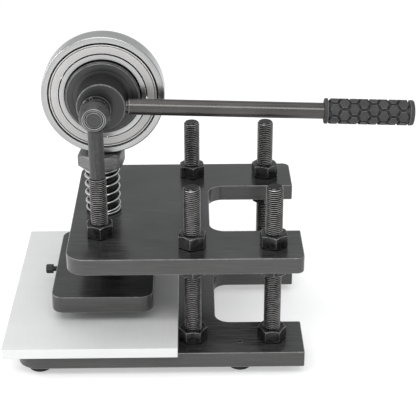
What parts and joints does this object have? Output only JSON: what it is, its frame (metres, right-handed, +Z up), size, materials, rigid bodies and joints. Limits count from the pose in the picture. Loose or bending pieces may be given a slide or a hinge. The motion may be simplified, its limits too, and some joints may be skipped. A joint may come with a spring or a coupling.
{
  "type": "tabletop cam press",
  "caption": "Tabletop hand press: a long lever turns an eccentric bearing that drives a sprung press plate down onto a cutting board between two plates on threaded columns.",
  "frame": {"origin": "under the middle of the whole press, on the surface that its feet stand on", "axes": "+Z up; +X the way the lever points at rest, left to right from the working side; +Y to the rear"},
  "size_m": [0.3837, 0.242, 0.3041],
  "materials": {
    "plate_steel": "semi-gloss charcoal over faint straight brushing",
    "hub_steel": "satin dark turned steel",
    "stud_steel": "black oxide, worn bright on the thread crests",
    "nut_steel": "black oxide with bright worn corners",
    "forged_steel": "satin dark forged steel",
    "circlip_steel": "phosphated spring steel",
    "shaft_steel": "turned",
    "bearing_steel": "ground and bright",
    "shield_steel": "pressed sheet, satin",
    "ball_steel": "polished",
    "cage_steel": "pressed sheet",
    "spring_steel": "bright drawn wire",
    "lever_steel": "smooth dark gunmetal",
    "grip_rubber": "matte, moulded with raised hexagons",
    "foot_rubber": "matte",
    "board_plastic": "fine matte polyethylene"
  },
  "bodies": {
    "frame": {"base_plate": "plate_steel", "rubber_feet": "foot_rubber", "foot_screws": "nut_steel", "column_stud_front_left": "stud_steel", "column_stud_front_right": "stud_steel", "column_stud_rear_left": "stud_steel", "column_stud_rear_right": "stud_steel", "base_lock_nuts": "nut_steel"},
    "head": {"head_plate": "plate_steel", "lower_plate_nuts": "nut_steel", "upper_plate_nuts": "nut_steel", "eye_bolt_front": "forged_steel", "eye_bolt_rear": "forged_steel", "eye_bolt_upper_nuts": "nut_steel", "eye_bolt_lower_nuts": "nut_steel", "cam_shaft": "shaft_steel", "circlip_front": "circlip_steel", "circlip_rear": "circlip_steel", "thrust_washer_front": "shaft_steel", "thrust_washer_rear": "shaft_steel", "return_spring": "spring_steel"},
    "cam": {"eccentric_hub": "hub_steel", "bearing_inner_ring": "bearing_steel", "lever_rod": "lever_steel", "lever_grip": "grip_rubber"},
    "bearing_outer": {"bearing_outer_ring": "bearing_steel", "bearing_shield_front": "shield_steel", "bearing_shield_rear": "shield_steel"},
    "bearing_cage_set": {"bearing_balls": "ball_steel", "bearing_cage": "cage_steel"},
    "ram": {"plunger": "hub_steel", "press_plate": "plate_steel", "plunger_clamp_screw": "nut_steel"},
    "board": {"cutting_board": "board_plastic"}
  },
  "joints": [
    {"name": "head_height", "type": "slide", "parent": "frame", "child": "head", "axis": [0, 0, 1], "range_m": [-0.008, 0.035]},
    {"name": "lever_swing", "type": "hinge", "parent": "head", "child": "cam", "pos_m": [-0.09971, -0.008, 0.2446], "axis": [0, 1, 0], "range_deg": [-40, 44]},
    {"name": "ram_slide", "type": "slide", "parent": "head", "child": "ram", "axis": [0, 0, 1], "range_m": [-0.0033, 0.003], "stiffness_N_per_m": 2300, "springref_m": 0.02, "deforming": ["return_spring"]},
    {"name": "bearing_spin", "type": "hinge", "parent": "cam", "child": "bearing_outer", "pos_m": [-0.09514, -0.008, 0.24663], "axis": [0, 1, 0], "continuous": true},
    {"name": "cage_spin", "type": "hinge", "parent": "cam", "child": "bearing_cage_set", "pos_m": [-0.09514, -0.008, 0.24663], "axis": [0, 1, 0], "continuous": true},
    {"name": "board_slide", "type": "slide", "parent": "frame", "child": "board", "axis": [-1, 0, 0], "range_m": [0, 0.17]}
  ],
  "couplings": [
    {"joint": "ram_slide", "follows": "lever_swing", "m_per_rad": -0.0042},
    {"joint": "cage_spin", "follows": "bearing_spin", "ratio": 0.568}
  ]
}
